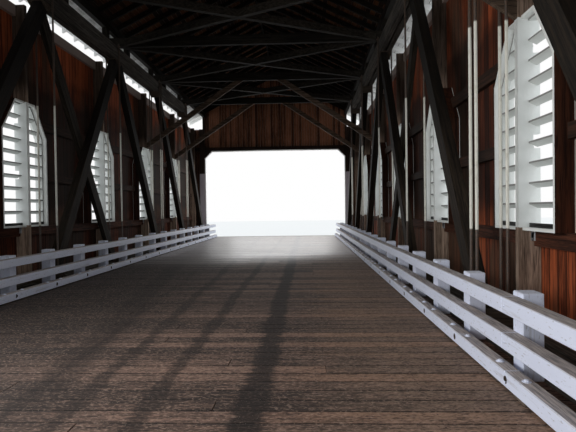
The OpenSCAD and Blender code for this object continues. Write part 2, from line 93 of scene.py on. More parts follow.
for name, place, tilt, size, power in (
    ("lamp_near", (0, -19.5, 6.0), (80, 0), (7.0, 5.0), 80),
    ("lamp_far", (0, 19.5, 6.0), (-80, 0), (7.0, 5.0), 230),
    ("lamp_inside_near", (-3.1, -9.8, deck_z + 2.9), (0, -72), (1.8, 6.0), 350),
    ("lamp_inside_left", (2.2, -8.0, deck_z + 5.6), (0, 35), (1.2, 9.0), 14),
    ("lamp_inside_middle", (-0.8, 1.0, deck_z + 5.8), (0, -15), (1.6, 10.0), 30),
    ("lamp_inside_far", (0, 10.0, deck_z + 5.0), (0, 0), (3.0, 8.0), 130),
):
    lamp = bpy.data.objects.new(name, bpy.data.lights.new(name, "AREA"))
    lamp.data.shape = "RECTANGLE"
    lamp.data.size, lamp.data.size_y = size
    lamp.data.energy = power
    lamp.location = place
    lamp.rotation_euler = [math.radians(angle) for angle in (*tilt, 0)]
    lamp.visible_camera = False
    scene.collection.objects.link(lamp)

# Floor of the studio: plain, pale and matt, level with the undersides of the abutments, where it
# takes their shadow.
bpy.ops.mesh.primitive_plane_add(size=260, location=(0, 0, 0))
floor = bpy.context.object
floor.name = "floor"
pale = bpy.data.materials.new("pale_floor")
pale.use_nodes = True
matt = pale.node_tree.nodes["Principled BSDF"]
matt.inputs["Base Color"].default_value = (0.95, 0.95, 0.94, 1)
matt.inputs["Roughness"].default_value = 0.9
floor.data.materials.append(pale)


# Abutments: concrete cast against boards, which leave level lines, with streaks of dirt that
# run down from the seat. A finish is made of shader nodes, and a wire carries a value from one
# node to the next, so that masks and patterns are written as sums.
class Wire:
    def __init__(self, finish, socket):
        self.finish, self.socket = finish, socket

    def reckon(self, operation, first, second=0.0):
        return self.finish.node("Math", {"operation": operation}, {0: first, 1: second})

    def __add__(self, other):
        return self.reckon("ADD", self, other)

    def __radd__(self, other):
        return self.reckon("ADD", other, self)

    def __sub__(self, other):
        return self.reckon("SUBTRACT", self, other)

    def __rsub__(self, other):
        return self.reckon("SUBTRACT", other, self)

    def __mul__(self, other):
        return self.reckon("MULTIPLY", self, other)

    def __rmul__(self, other):
        return self.reckon("MULTIPLY", other, self)

    def __truediv__(self, other):
        return self.reckon("DIVIDE", self, other)

    def __gt__(self, other):
        return self.reckon("GREATER_THAN", self, other)

    def __lt__(self, other):
        return self.reckon("LESS_THAN", self, other)

    def __abs__(self):
        return self.reckon("ABSOLUTE", self)

    def fraction(self):
        return self.reckon("FRACT", self)


class Finish:
    def __init__(self, name, roughness):
        self.material = bpy.data.materials.new(name)
        self.material.use_nodes = True
        self.tree = self.material.node_tree
        self.shader = self.tree.nodes["Principled BSDF"]
        self.shader.inputs["Roughness"].default_value = roughness
        self.place = self.node("TexCoord", out="Object")
        self.xyz = self.parts(self.place)

    def node(self, kind, settings=None, sockets=None, out=0):
        made = self.tree.nodes.new("ShaderNode" + kind)
        for key, value in (settings or {}).items():
            setattr(made, key, value)
        for key, value in (sockets or {}).items():
            if isinstance(value, Wire):
                self.tree.links.new(value.socket, made.inputs[key])
            else:
                made.inputs[key].default_value = value
        return Wire(self, made.outputs[out])

    def parts(self, vector):
        split = self.node("SeparateXYZ", {}, {0: vector}).socket.node
        return [Wire(self, socket) for socket in split.outputs]

    def facing(self):
        return self.parts(self.node("NewGeometry", out="Normal"))

    def own_tone(self):
        return self.node("Attribute", {"attribute_name": "board"}, out="Fac")

    def noise(self, scale, detail=2.0, stretch=(1, 1, 1), place=None):
        moved = self.node("Mapping", {}, {"Vector": place or self.place, "Scale": stretch})
        return self.node("TexNoise", {}, {"Vector": moved, "Scale": scale, "Detail": detail})

    def step(self, value, low, high):
        settings = {"interpolation_type": "SMOOTHSTEP"}
        return self.node("MapRange", settings, {0: value, 1: low, 2: high})

    def mix(self, factor, first, second):
        return self.node("Mix", {"data_type": "RGBA"}, {0: factor, 6: first, 7: second}, out=2)

    def wear(self, skin, roughness=None, height=None, depth=0.002):
        for name, wire in (("Base Color", skin), ("Roughness", roughness)):
            if wire:
                self.tree.links.new(wire.socket, self.shader.inputs[name])
        if height:
            bump = self.node("Bump", {}, {"Height": height, "Distance": depth, "Strength": 0.6})
            self.tree.links.new(bump.socket, self.shader.inputs["Normal"])
        return self.material


def colour(red, green, blue):
    parts = [part / 255 for part in (red, green, blue)]
    return (*[p / 12.92 if p < 0.0405 else ((p + 0.055) / 1.055) ** 2.4 for p in parts], 1.0)


def finish_nodes(material, *names):
    for name in names:
        nodes[name].data.materials.clear()
        nodes[name].data.materials.append(material)


form_board = 0.29
concrete = Finish("cast_concrete", 0.9)
lines = concrete.step(abs((concrete.xyz[2] / form_board).fraction() - 0.5), 0.47, 0.49)
grains = concrete.noise(90, 3)
cloud = concrete.noise(1.3, 4)
streaks = concrete.noise(3.0, 3, stretch=(2.2, 2.2, 0.15))
skin = concrete.mix(cloud, colour(150, 147, 138), colour(183, 180, 170))
skin = concrete.mix(concrete.step(streaks, 0.5, 0.72) * 0.55, skin, colour(104, 100, 92))
skin = concrete.mix(lines * 0.35, skin, colour(96, 92, 86))
cast = concrete.wear(skin, height=grains * 0.5 - lines * 0.8, depth=0.004)
finish_nodes(cast, "abutment_near", "abutment_far")

# Floor timbers: beams across the road hung on the rods, and stringers along it, sawn and dark.
# Sawn timber has fibres along the stick, darker bands, fine checks and broad weathered patches.
# The way they run is an axis, or a slope in the plane of the truss that turns in mid bridge.
panel = 3.96


def grain(along, reach):
    return [reach if axis == along else 1 for axis in "XYZ"]


def darker(tone, share):
    return (*[share * part for part in tone[:3]], 1.0)


def timber(name, light, dark, along="Y", slope=0.0, patch=0.5, board=0.0, reach=0.04):
    wood = Finish(name, 0.82)
    wood.shader.inputs["Specular IOR Level"].default_value = 0.2
    place = wood.place
    if slope:
        rise, fall = [
            wood.node("Mapping", {}, {"Vector": place, "Rotation": (turn, 0, 0)})
            for turn in (-slope, slope)
        ]
        falls = wood.xyz[1] > panel / 2
        place = wood.node("Mix", {"data_type": "VECTOR"}, {0: falls, 4: rise, 5: fall}, out=1)
    stretch = grain(along, reach)
    fibre = wood.noise(140, 3, stretch, place)
    band = wood.noise(24, 4, stretch, place)
    check = wood.noise(48, 1, stretch, place)
    cloud = wood.noise(0.8, 3)
    tone = band * 0.55 + fibre * 0.45
    if board:
        tone = tone + (wood.own_tone() - 0.5) * board
    skin = wood.mix(wood.step(tone, 0.35, 0.66), dark, light)
    skin = wood.mix(wood.step(cloud, 0.42, 0.75) * patch, skin, darker(dark, 0.55))
    cracks = wood.step(check, 0.66, 0.73)
    skin = wood.mix(cracks * 0.75, skin, darker(dark, 0.25))
    return wood, skin, fibre * 0.5 + band * 0.3 - cracks


beams, skin, relief = timber("floor_beam_timber", colour(98, 87, 76), colour(50, 43, 37), "X")
finish_nodes(beams.wear(skin, height=relief), "floor_beams", "angle_blocks")
joists, skin, relief = timber("stringer_timber", colour(92, 80, 70), colour(46, 39, 34), "Y")
finish_nodes(joists.wear(skin, height=relief), "stringers")

# Truss timbers: chords of several sticks, main braces that rise to the middle of the bridge, and
# the middle panel's second brace. Age has turned the chords grey brown. The braces are painted
# nearly black above eye height as shade, where little light reaches.
chords, skin, relief = timber("chord_timber", colour(112, 106, 98), colour(38, 35, 32), "Y")
chord_finish = chords.wear(skin, height=relief)
finish_nodes(chord_finish, "lower_chord_left", "lower_chord_right")
finish_nodes(chord_finish, "top_chord_left", "top_chord_right")
brace_rise = 6.45
slope = math.atan(brace_rise / panel)
braces, skin, relief = timber(
    "brace_timber", colour(60, 49, 38), colour(9, 7, 5), "Y", slope, patch=0.35,
)
# painted shade: the braces darken towards black above eye height, where little light reaches
painted_shade_overhead = braces.step(braces.xyz[2], deck_z + 1.2, deck_z + 4.2)
skin = braces.mix(painted_shade_overhead * 0.65, skin, colour(9, 8, 6))
finish_nodes(braces.wear(skin, height=relief), "main_braces_left", "main_braces_right")
counters, skin, relief = timber(
    "counter_brace_timber", colour(64, 56, 46), colour(17, 14, 11), "Y", -slope,
)
finish_nodes(counters.wear(skin, height=relief), "counter_braces")

# Rods: round steel with a nut at each end, painted white beside the windows and bare above and
# below, with thick steel plates under the nuts.
rods = Finish("rod_paint", 0.45)
ragged = rods.noise(14, 3)
height = rods.xyz[2] + ragged * 0.05
painted = rods.step(height, deck_z + 1.27, deck_z + 1.29)
painted = painted * (1 - rods.step(height, deck_z + 4.0, deck_z + 4.03))
steel = rods.mix(rods.step(rods.noise(60, 4), 0.45, 0.62), colour(74, 66, 60), colour(96, 74, 58))
flaking = rods.step(rods.noise(9, 4), 0.5, 0.75)
paint = rods.mix(flaking * 0.4, colour(236, 234, 222), colour(190, 182, 164))
rod_finish = rods.wear(rods.mix(painted, steel, paint), height=ragged, depth=0.0005)
finish_nodes(rod_finish, "truss_rods")
plates = Finish("plate_steel", 0.6)
rust = plates.step(plates.noise(40, 4), 0.42, 0.6)
skin = plates.mix(rust, colour(70, 66, 62), colour(104, 70, 50))
finish_nodes(plates.wear(skin, height=rust, depth=0.001), "rod_plates")


# Deck: planks laid across the road on nine stringers, two to a row with butted ends and nailed
# at each stringer. They are worn unevenly, split and pitted, stained dark along the road in a
# few lines, and polished towards the far portal, where they are painted paler as pale dust and
# as painted light for the daylight coming in.
def board_model(edge):
    bpy.ops.mesh.primitive_cube_add(size=2)
    model = bpy.context.object
    bpy.ops.object.mode_set(mode="EDIT")
    bpy.ops.mesh.select_all(action="SELECT")
    bpy.ops.mesh.bevel(offset=edge, segments=1, affect="EDGES")
    bpy.ops.object.mode_set(mode="OBJECT")
    return model


def boards(name, model, boxes, matrix=None):
    bpy.ops.object.select_all(action="DESELECT")
    made = []
    for low, high in boxes:
        one = model.copy()
        one.data = model.data.copy()
        scene.collection.objects.link(one)
        for point in one.data.vertices:
            for axis in range(3):
                point.co[axis] += high[axis] - 1 if point.co[axis] > 0 else low[axis] + 1
        own = one.data.attributes.new("board", "FLOAT", "FACE")
        own.data.foreach_set("value", [random.random()] * len(one.data.polygons))
        one.select_set(True)
        made.append(one)
    bpy.data.objects.remove(model)
    bpy.context.view_layer.objects.active = made[0]
    bpy.ops.object.join()
    made[0].name = name
    if matrix:
        made[0].data.transform(matrix)
    bpy.ops.object.select_all(action="DESELECT")
    return made[0]


plank_width, half_gap, most_worn = 0.205, 0.002, 0.004
between_trusses = 3.8
joint_lines = (-1.9, -0.95, 0.0, 0.95, 1.9)
rows = round((deck_high.y - deck_low.y) / plank_width)
pitch = (deck_high.y - deck_low.y) / rows
under_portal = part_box("portal_lining")[1].y - 0.07
boxes = []
for row in range(rows):
    y = deck_low.y + row * pitch
    edge = deck_high.x if abs(y + pitch / 2) > under_portal else between_trusses
    joint = random.choice(joint_lines) + random.uniform(-0.03, 0.03)
    for low_x, high_x in ((-edge, joint - half_gap), (joint + half_gap, edge)):
        top = deck_high.z - random.uniform(0, most_worn)
        boxes.append(((low_x, y + half_gap, deck_low.z), (high_x, y + pitch - half_gap, top)))
planks = boards("deck_planks", board_model(0.005), boxes)

deck, skin, relief = timber(
    "deck_plank_timber", colour(131, 104, 90), colour(43, 33, 28), "X",
    patch=0.15, board=0.22, reach=0.12,
)
deck.shader.inputs["Specular IOR Level"].default_value = 0.35
x, y = deck.xyz[:2]
own = deck.own_tone()
drift = (deck.noise(0.3, 2) - 0.5) * 0.25
ragged = deck.noise(11, 4, stretch=(0.5, 2, 1))
speck = deck.noise(55, 2, stretch=(0.5, 1, 1))
blotch = own * 0.6 + deck.noise(1.6, 3, stretch=(0.35, 2.2, 1)) * 0.7
warm = deck.step(x + drift, 1.1, 2.4) * deck.step(blotch, 0.5, 0.78)
brown = deck.mix(relief + 0.5, colour(72, 46, 33), colour(150, 108, 78))
skin = deck.mix(warm * 0.4, skin, brown)
left = deck.step(drift - x, -0.6, 1.8)
skin = deck.mix(left * 0.65, skin, colour(50, 43, 40))
skin = deck.mix(left * deck.step(y, -9.6, -6.0) * 0.7, skin, colour(18, 15, 13))
beside_curb = deck.step(x, 2.2, 3.1) * deck.step(y, -8.0, -3.0)
skin = deck.mix(beside_curb * 0.45, skin, colour(28, 23, 20))
rubbed = deck.step(x, 1.4, 2.8) * deck.step(relief, 0.1, 0.45)
skin = deck.mix(rubbed * 0.35, skin, colour(176, 146, 124))
stains = 0
for middle, lean, half_width, strength in (
    (1.3, 0.0, 0.125, 0.9),
    (0.45, 0.0, 0.08, 0.7),
    (-0.42, -0.03, 0.08, 0.65),
    (-1.9, -0.16, 0.2, 0.5),
    (-1.15, -0.06, 0.05, 0.3),
):
    off_line = abs(x + drift - y * lean - middle)
    off_line = off_line + (ragged - 0.5) * 0.2 + (own - 0.5) * 0.04 + (speck - 0.5) * 0.1
    stains = (1 - deck.step(off_line, half_width * 0.7, half_width * 1.35)) * strength + stains
skin = deck.mix(stains, skin, colour(24, 15, 11))
row = ((y - deck_low.y) / pitch).fraction()
seam = deck.step(abs(row - 0.5) + (speck - 0.5) * 0.08, 0.41, 0.485)
skin = deck.mix(seam * 0.8, skin, colour(20, 16, 14))
skin = deck.mix(deck.step(speck, 0.6, 0.72) * 0.6, skin, colour(30, 24, 21))
splits = deck.noise(34, 4, stretch=(0.16, 1.4, 1))
skin = deck.mix(deck.step(splits, 0.54, 0.64) * 0.5, skin, colour(36, 27, 23))
pits = deck.noise(68, 3, stretch=(0.5, 1, 1))
skin = deck.mix(deck.step(pits, 0.52, 0.64) * 0.5, skin, colour(30, 23, 20))
proud = (1 - deck.step(pits, 0.34, 0.46)) * (1 - stains * 0.75)
skin = deck.mix(proud * 0.35, skin, colour(176, 150, 134))
grit = deck.step(deck.noise(80, 2), 0.7, 0.76)
skin = deck.mix(grit * 0.5, skin, colour(190, 176, 164))
stringer_low, stringer_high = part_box("stringers")
stringer_width, stringers = 0.15, 9
spacing = (stringer_high.x - stringer_low.x - stringer_width) / (stringers - 1)
across = abs((x / spacing + 0.5).fraction() - 0.5) * spacing
along = abs(abs(row - 0.5) - 0.28) * pitch
away = across.reckon("SQRT", across * across + along * along)
nails = 1 - deck.step(away, 0.006, 0.010)
skin = deck.mix(nails * 0.8, skin, colour(24, 20, 18))
# pale dust and painted light: the planks grow paler and smoother towards the far portal, standing
# in for daylight coming in there
polish_and_painted_light = deck.step(y + drift * 4 - abs(x + 0.5) * 0.3 + (own - 0.5) * 1.2, -1.0, 3.6)
skin = deck.mix(polish_and_painted_light * 0.4, skin, colour(170, 163, 162))
roughness = 0.78 + ragged * 0.15 - polish_and_painted_light * 0.5
planks.data.materials.append(deck.wear(skin, roughness, relief - seam - splits - pits, 0.005))
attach(planks, "root")
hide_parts("deck")


# Rails: squared timbers in white paint, two high on each side, bolted to the posts and butted
# at every fourth one. Wear and rain have dirtied the upward faces, where the wood shows.
def white_paint(name, along, grime=0.85):
    paint = Finish(name, 0.5)
    fibre = paint.noise(90, 3, grain(along, 0.05))
    cloud = paint.noise(2.2, 4)
    flakes = paint.step(paint.noise(23, 3, grain(along, 0.05)), 0.62, 0.68)
    chips = paint.step(paint.noise(64, 4, grain(along, 0.3)), 0.62, 0.68)
    up = paint.step(paint.facing()[2], 0.5, 0.9)
    skin = paint.mix(cloud * 0.5, colour(232, 238, 255), colour(212, 218, 240))
    skin = paint.mix(flakes * 0.25, skin, colour(150, 140, 128))
    skin = paint.mix(chips * 0.4, skin, colour(132, 124, 116))
    bare = paint.mix(paint.step(fibre, 0.35, 0.65), colour(96, 84, 76), colour(186, 172, 160))
    skin = paint.mix(up * grime * paint.step(cloud + fibre * 0.4, 0.3, 0.6), skin, bare)
    return paint.wear(skin, 0.45 + up * 0.35, fibre * 0.5 - flakes * 0.5, 0.0015)


def both_sides(inner, outer):
    return [(side, *sorted((side * inner, side * outer))) for side in (-1, 1)]


paint_along = white_paint("rail_paint", "Y")
paint_upright = white_paint("post_paint", "Z", 0.25)
half_butt = 0.0015
first_post, post_spacing, post_count = -13.3, 1.32, 21
post_y = [first_post + post_spacing * k for k in range(post_count)]
rails_low, rails_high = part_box("guard_rails")
rail_size = 0.145
rail_face = rails_high.x - rail_size
rail_bottoms = (deck_z + 0.27, deck_z + 0.595)
boxes = []
for side, low_x, high_x in both_sides(rail_face, rails_high.x):
    for bottom in rail_bottoms:
        joints = [rails_low.y, *post_y[3 + side:-1:4], rails_high.y]
        for start, end in zip(joints, joints[1:]):
            corner = (low_x, start + half_butt, bottom)
            boxes.append((corner, (high_x, end - half_butt, bottom + rail_size)))
rails = boards("rail_timbers", board_model(0.007), boxes)
rails.data.materials.append(paint_along)
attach(rails, "root")
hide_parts("guard_rails")

# Curbs: squared timbers along the road's edges, painted as the rails are and held off the deck
# by two bare blocks at each post. A hole is bored in the curb's face beside each post for a
# bolt, and shows bare wood inside.
curbs_low, curbs_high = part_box("curbs")
curb_width, off_deck, curb_height = 0.14, 0.02, 0.135
curb_face = curbs_high.x - curb_width
curb_top = deck_z + (off_deck + curb_height)
boxes = []
for side, low_x, high_x in both_sides(curb_face, curbs_high.x):
    joints = [curbs_low.y, *[y - 0.25 for y in post_y[3 + side:-1:5]], curbs_high.y]
    for start, end in zip(joints, joints[1:]):
        corner = (low_x, start + half_butt, deck_z + off_deck)
        boxes.append((corner, (high_x, end - half_butt, curb_top)))
curb = boards("curb_timbers", board_model(0.009), boxes)
bore_radius, bore_depth, bore_z = 0.034, 0.03, deck_z + (off_deck + curb_height / 2)
bore_back = 0.27
bore_y = [y - bore_back for y in post_y[1:]]
bores = []
for side in (-1, 1):
    for y in bore_y:
        bpy.ops.mesh.primitive_cylinder_add(
            vertices=20, radius=bore_radius, depth=2 * bore_depth,
            location=(side * curb_face, y, bore_z), rotation=(0, math.pi / 2, 0),
        )
        bores.append(bpy.context.object)
for one in bores:
    one.select_set(True)
drill = bores[0]
bpy.context.view_layer.objects.active = drill
bpy.ops.object.join()
cut = curb.modifiers.new("drill", "BOOLEAN")
cut.operation, cut.object = "DIFFERENCE", drill
bpy.ops.object.select_all(action="DESELECT")
bpy.context.view_layer.objects.active = curb
bpy.ops.object.modifier_apply(modifier="drill")
bpy.data.objects.remove(drill)
bare, skin, relief = timber("curb_block_timber", colour(112, 98, 88), colour(54, 46, 40), "Y")
bare_timber = bare.wear(skin, height=relief)
curb.data.materials.clear()
curb.data.materials.append(paint_along)
curb.data.materials.append(bare_timber)
for face in curb.data.polygons:
    deep = 0.001 < abs(face.center.x) - curb_face < bore_depth + 0.001
    level = abs(face.center.z - bore_z) < bore_radius
    beside = any(abs(face.center.y - y) < bore_radius for y in bore_y)
    face.material_index = int(deep and level and beside)
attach(curb, "root")
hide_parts("curbs")

half_block, block_height, second_block = 0.11, 0.021, 0.5
boxes = []
for side, low_x, high_x in both_sides(curb_face + 0.002, curbs_high.x - 0.01):
    for y in post_y:
        for middle in (y, y - second_block):
            corner = (low_x, middle - half_block, deck_z)
            boxes.append((corner, (high_x, middle + half_block, deck_z + block_height)))
blocks = boards("curb_blocks", board_model(0.006), boxes)
blocks.data.materials.append(bare_timber)
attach(blocks, "root")

# Rail posts: short square posts of white painted timber with their edges taken off, standing on
# the deck behind the curb and rails.
posts_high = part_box("rail_posts")[1]
post_size = 0.19
boxes = []
for side, low_x, high_x in both_sides(posts_high.x - post_size, posts_high.x):
    for y in post_y:
        corner = (low_x, y - post_size / 2, deck_z)
        boxes.append((corner, (high_x, y + post_size / 2, posts_high.z)))
posts = boards("rail_post_timbers", board_model(0.008), boxes)
posts.data.materials.append(paint_upright)
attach(posts, "root")
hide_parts("rail_posts")

# Rail bolts: round heads on washers, painted over with the timber. At each post two large ones
# go down through the curb, one sits in the curb's bored hole and a small one is in each rail.
washer_thickness, head_height = 0.004, 0.011
bpy.ops.mesh.primitive_cylinder_add(
    vertices=16, radius=0.028, depth=washer_thickness, location=(0, 0, washer_thickness / 2),
)
washer = bpy.context.object
bpy.ops.object.mode_set(mode="EDIT")
bpy.ops.mesh.select_mode(type="FACE")
bpy.ops.mesh.select_all(action="DESELECT")
bpy.ops.object.mode_set(mode="OBJECT")
for face in washer.data.polygons:
    face.select = face.normal.z > 0.9
bpy.ops.object.mode_set(mode="EDIT")
bpy.ops.mesh.inset(thickness=0.011)
bpy.ops.mesh.extrude_region_move(TRANSFORM_OT_translate={"value": (0, 0, head_height)})
bpy.ops.mesh.bevel(offset=0.006, segments=2, affect="EDGES")
bpy.ops.object.mode_set(mode="OBJECT")


def fixings(name, model, matrices):
    bpy.ops.object.select_all(action="DESELECT")
    made = []
    for matrix in matrices:
        one = model.copy()
        one.data = model.data.copy()
        one.data.transform(matrix)
        scene.collection.objects.link(one)
        one.select_set(True)
        made.append(one)
    bpy.context.view_layer.objects.active = made[0]
    bpy.ops.object.join()
    made[0].name = name
    bpy.ops.object.shade_smooth_by_angle(angle=math.radians(35))
    bpy.ops.object.select_all(action="DESELECT")
    return made[0]


large, small = Matrix.Scale(1.3, 4), Matrix.Scale(0.6, 4)
places = []
for side in (-1, 1):
    inward = Matrix.Rotation(-side * math.pi / 2, 4, "Y")
    for y in post_y:
        for at in (y - second_block, y):
            on_curb = Matrix.Translation((side * (curbs_high.x - curb_width / 2), at, curb_top))
            places.append(on_curb @ large)
        if y > post_y[0]:
            at = (side * (curb_face + bore_depth), y - bore_back, bore_z)
            in_bore = Matrix.Translation(at)
            places.append(in_bore @ inward)
        for bottom in rail_bottoms:
            on_rail = Matrix.Translation((side * rail_face, y - 0.05, bottom + 0.07))
            places.append(on_rail @ inward @ small)
bolts = fixings("rail_bolts", washer, places)
bolts.data.materials.append(paint_upright)
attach(bolts, "root")


# Wall boards: upright boards nailed to the girts, with battens over their joints outside. They
# are bare and reddish inside, grey in broad patches, and painted white outside. Inside, painted
# shade darkens a band across the middle of the walls and the foot of the left wall, and painted
# light brightens the top of the left wall under the eaves.
def trimmed(piece, node):
    cutter = nodes[node].copy()
    cutter.data = nodes[node].data.copy()
    scene.collection.objects.link(cutter)
    bpy.context.view_layer.objects.active = cutter
    cutter.hide_viewport = False
    cutter.select_set(True)
    bpy.ops.object.mode_set(mode="EDIT")
    bpy.ops.mesh.select_all(action="SELECT")
    bpy.ops.mesh.remove_doubles(threshold=0.00002)
    bpy.ops.object.mode_set(mode="OBJECT")
    bpy.ops.object.select_all(action="DESELECT")
    cut = piece.modifiers.new("cut", "BOOLEAN")
    cut.operation, cut.object = "INTERSECT", cutter
    bpy.context.view_layer.objects.active = piece
    bpy.ops.object.modifier_apply(modifier="cut")
    bpy.data.objects.remove(cutter)
    return piece


board_face, batten_foot, batten_face, spare = 0.018, 0.0181, 0.0295, 0.1


def battened(name, node, through, board, half_batten):
    low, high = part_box(node)
    along = 1 - through
    count = round((high[along] - low[along]) / board)
    width = (high[along] - low[along]) / count
    inner = min(abs(low[through]), abs(high[through]))
    side = 1 if high[through] > inner else -1
    boxes = []
    for k in range(count):
        start = low[along] + k * width
        uneven = 0.0004 + random.uniform(0, 0.002)
        layers = [(uneven, board_face, start + half_butt, start + width - half_butt)]
        if k:
            layers.append((batten_foot, batten_face, start - half_batten, start + half_batten))
        for near, far, first, last in layers:
            face = sorted((side * (inner + near), side * (inner + far)))
            corners = ((face[0], first), (face[1], last))
            if through == 1:
                corners = [corner[::-1] for corner in corners]
            boxes.append(((*corners[0], low.z - spare), (*corners[1], high.z + spare)))
    return trimmed(boards(name, board_model(0.002), boxes), node)


def outside_paint(boarding):
    weather = boarding.noise(1.7, 4, stretch=(1, 1, 0.3))
    worn = boarding.step(weather, 0.4, 0.7) * 0.5
    return boarding.mix(worn, colour(228, 229, 226), colour(196, 196, 190))


wall_board = 0.19
within_boards = 4.852
wall, skin, relief = timber(
    "wall_board_timber", colour(184, 94, 55), colour(80, 38, 22), "Z", patch=0.25, board=0.2,
)
x, y, z = wall.xyz
own = wall.own_tone()
fibre = wall.noise(30, 3, stretch=(1, 1, 0.05))
wall_low, wall_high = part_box("siding_right")
board_width = (wall_high.y - wall_low.y) / round((wall_high.y - wall_low.y) / wall_board)
row = ((y - wall_low.y) / board_width).fraction()
seam = wall.step(abs(row - 0.5) + (fibre - 0.5) * 0.05, 0.44, 0.485)
patches = wall.noise(0.6, 2, stretch=(1, 1, 0.35))
grey = wall.step(own * 0.15 + 0.12 + patches * 1.2, 0.74, 0.86)
skin = wall.mix(grey * 0.8, skin, wall.mix(fibre, colour(30, 27, 21), colour(92, 82, 68)))
# painted shade: a dark band across the middle of the walls, between the lit foot and the top
painted_shade_band = wall.step(z + wall.noise(0.9, 2) * 1.4, deck_z + 1.7, deck_z + 2.5)
painted_shade_band = painted_shade_band * (1 - wall.step(z + wall.noise(1.3, 2), deck_z + 4.9, deck_z + 5.4))
skin = wall.mix(painted_shade_band * 0.72, skin, colour(14, 11, 8))
# painted shade on the foot of the left wall
shaded = (x < 0) * (1 - wall.step(z, deck_z + 1.1, deck_z + 1.5))
skin = wall.mix(shaded * 0.6, skin, colour(14, 11, 8))
# painted light: the top of the left wall made lighter and redder where daylight comes in under
# the eaves
painted_light_near_eaves = wall.step(z, deck_z + 5.0, deck_z + 5.35) * wall.step(fibre + own * 0.3, 0.35, 0.75)
painted_light_near_eaves = painted_light_near_eaves * (1 - grey) * (x < 0)
skin = wall.mix(painted_light_near_eaves * 0.6, skin, colour(214, 112, 68))
skin = wall.mix(seam * 0.85, skin, colour(9, 7, 5))
skin = wall.mix(abs(x) > within_boards, skin, outside_paint(wall))
wall_finish = wall.wear(skin, height=relief)
for node in ("siding_left", "siding_right"):
    skin_boards = battened("wall_boards_" + node.split("_")[1], node, 0, wall_board, 0.025)
    skin_boards.data.materials.clear()
    skin_boards.data.materials.append(wall_finish)
    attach(skin_boards, "root")
    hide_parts(node)

# Wall posts and girts: planks on edge that carry the boards. The posts are white where they
# cross a window and bare elsewhere, and painted near black above the windows as shade. The
# girts are dark, with a pale strip along the top one.
studs, skin, relief = timber(
    "wall_post_timber", colour(194, 168, 148), colour(102, 85, 72), "Z", patch=0.3,
)
y, z = studs.xyz[1:]
height = z + (studs.noise(11, 3) - 0.5) * 0.03
painted = studs.step(height, deck_z + 1.265, deck_z + 1.275)
painted = painted * (1 - studs.step(height, deck_z + 4.05, deck_z + 4.06))
end_posts = 13
painted = painted * (abs(y) < end_posts)
dusty = studs.step(studs.noise(2.4, 4), 0.45, 0.7)
paint = studs.mix(dusty * 0.35, colour(241, 244, 242), colour(206, 211, 207))
# painted shade: the posts turn near black above the windows, where they stand in shade
dark = studs.step(z, deck_z + 4.1, deck_z + 4.6)
skin = studs.mix(dark * 0.75, skin, colour(14, 12, 10))
post_finish = studs.wear(studs.mix(painted, skin, paint), 0.8 - painted * 0.3, relief)
finish_nodes(post_finish, "wall_posts_left", "wall_posts_right")
girts, skin, relief = timber(
    "girt_timber", colour(104, 62, 44), colour(34, 19, 13), "Y", patch=0.4,
)
z = girts.xyz[2]
high = girts.step(z, deck_z + 1.6, deck_z + 2.0)
skin = girts.mix(high * 0.6, skin, girts.mix(relief, colour(17, 15, 11), colour(52, 47, 39)))
strip = girts.step(z, deck_z + 5.9, deck_z + 5.92)
skin = girts.mix(strip * 0.85, skin, colour(184, 168, 160))
finish_nodes(girts.wear(skin, height=relief), "girts_left", "girts_right")

# Brackets: small zinc-grey steel angles in the corner between each wall post and the girt under
# its window, with two bolts through each leg.
steel_thickness, leg_width, bracket_height = 0.004, 0.04, 0.135
reach_out = steel_thickness - leg_width
bpy.ops.mesh.primitive_cube_add(
    size=steel_thickness, location=(-steel_thickness / 2, -steel_thickness / 2, 0),
)
angle = bpy.context.object
bpy.ops.object.transform_apply(location=True, rotation=False, scale=False)
for point in angle.data.vertices:
    point.co.z *= bracket_height / steel_thickness
for axis, move in ((0, (reach_out, 0, 0)), (1, (0, reach_out, 0))):
    for face in angle.data.polygons:
        face.select = face.normal[axis] < -0.9 and face.center.x > -0.005
    bpy.ops.object.mode_set(mode="EDIT")
    bpy.ops.mesh.extrude_region_move(TRANSFORM_OT_translate={"value": move})
    bpy.ops.mesh.select_all(action="DESELECT")
    bpy.ops.object.mode_set(mode="OBJECT")
girt_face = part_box("girts_right")[0].x
half_post = 0.045
bracket_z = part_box("window_frames_right")[0].z - 0.072
corners = []
for k in range(1, 7):
    post_face = (k - 3.5) * panel - half_post
    for side, turn in ((1, 0), (-1, math.pi / 2)):
        at = Matrix.Translation((side * girt_face, post_face, bracket_z))
        corners.append(at @ Matrix.Rotation(turn, 4, "Z"))
bolt_out, bolt_rise, tiny = 0.023, 0.045, Matrix.Scale(0.34, 4)
heads = []
for corner in corners:
    for rise in (-bolt_rise, bolt_rise):
        for place, axis, turn in (
            ((-bolt_out, -steel_thickness, rise), "X", math.pi / 2),
            ((-steel_thickness, -bolt_out, rise), "Y", -math.pi / 2),
        ):
            on_leg = Matrix.Translation(place) @ Matrix.Rotation(turn, 4, axis)
            heads.append(corner @ on_leg @ tiny)
zinc = Finish("zinc_steel", 0.5)
spangle = zinc.noise(60, 3)
skin = zinc.mix(spangle, colour(150, 152, 156), colour(205, 207, 210))
zinc_finish = zinc.wear(skin, 0.4 + spangle * 0.25, spangle, 0.0004)
for label, model, matrices in (
    ("bracket_angles", angle, corners),
    ("bracket_bolts", washer, heads),
):
    bracket = fixings(label, model, matrices)
    bracket.data.materials.append(zinc_finish)
    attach(bracket, "root")
    bpy.data.objects.remove(model)

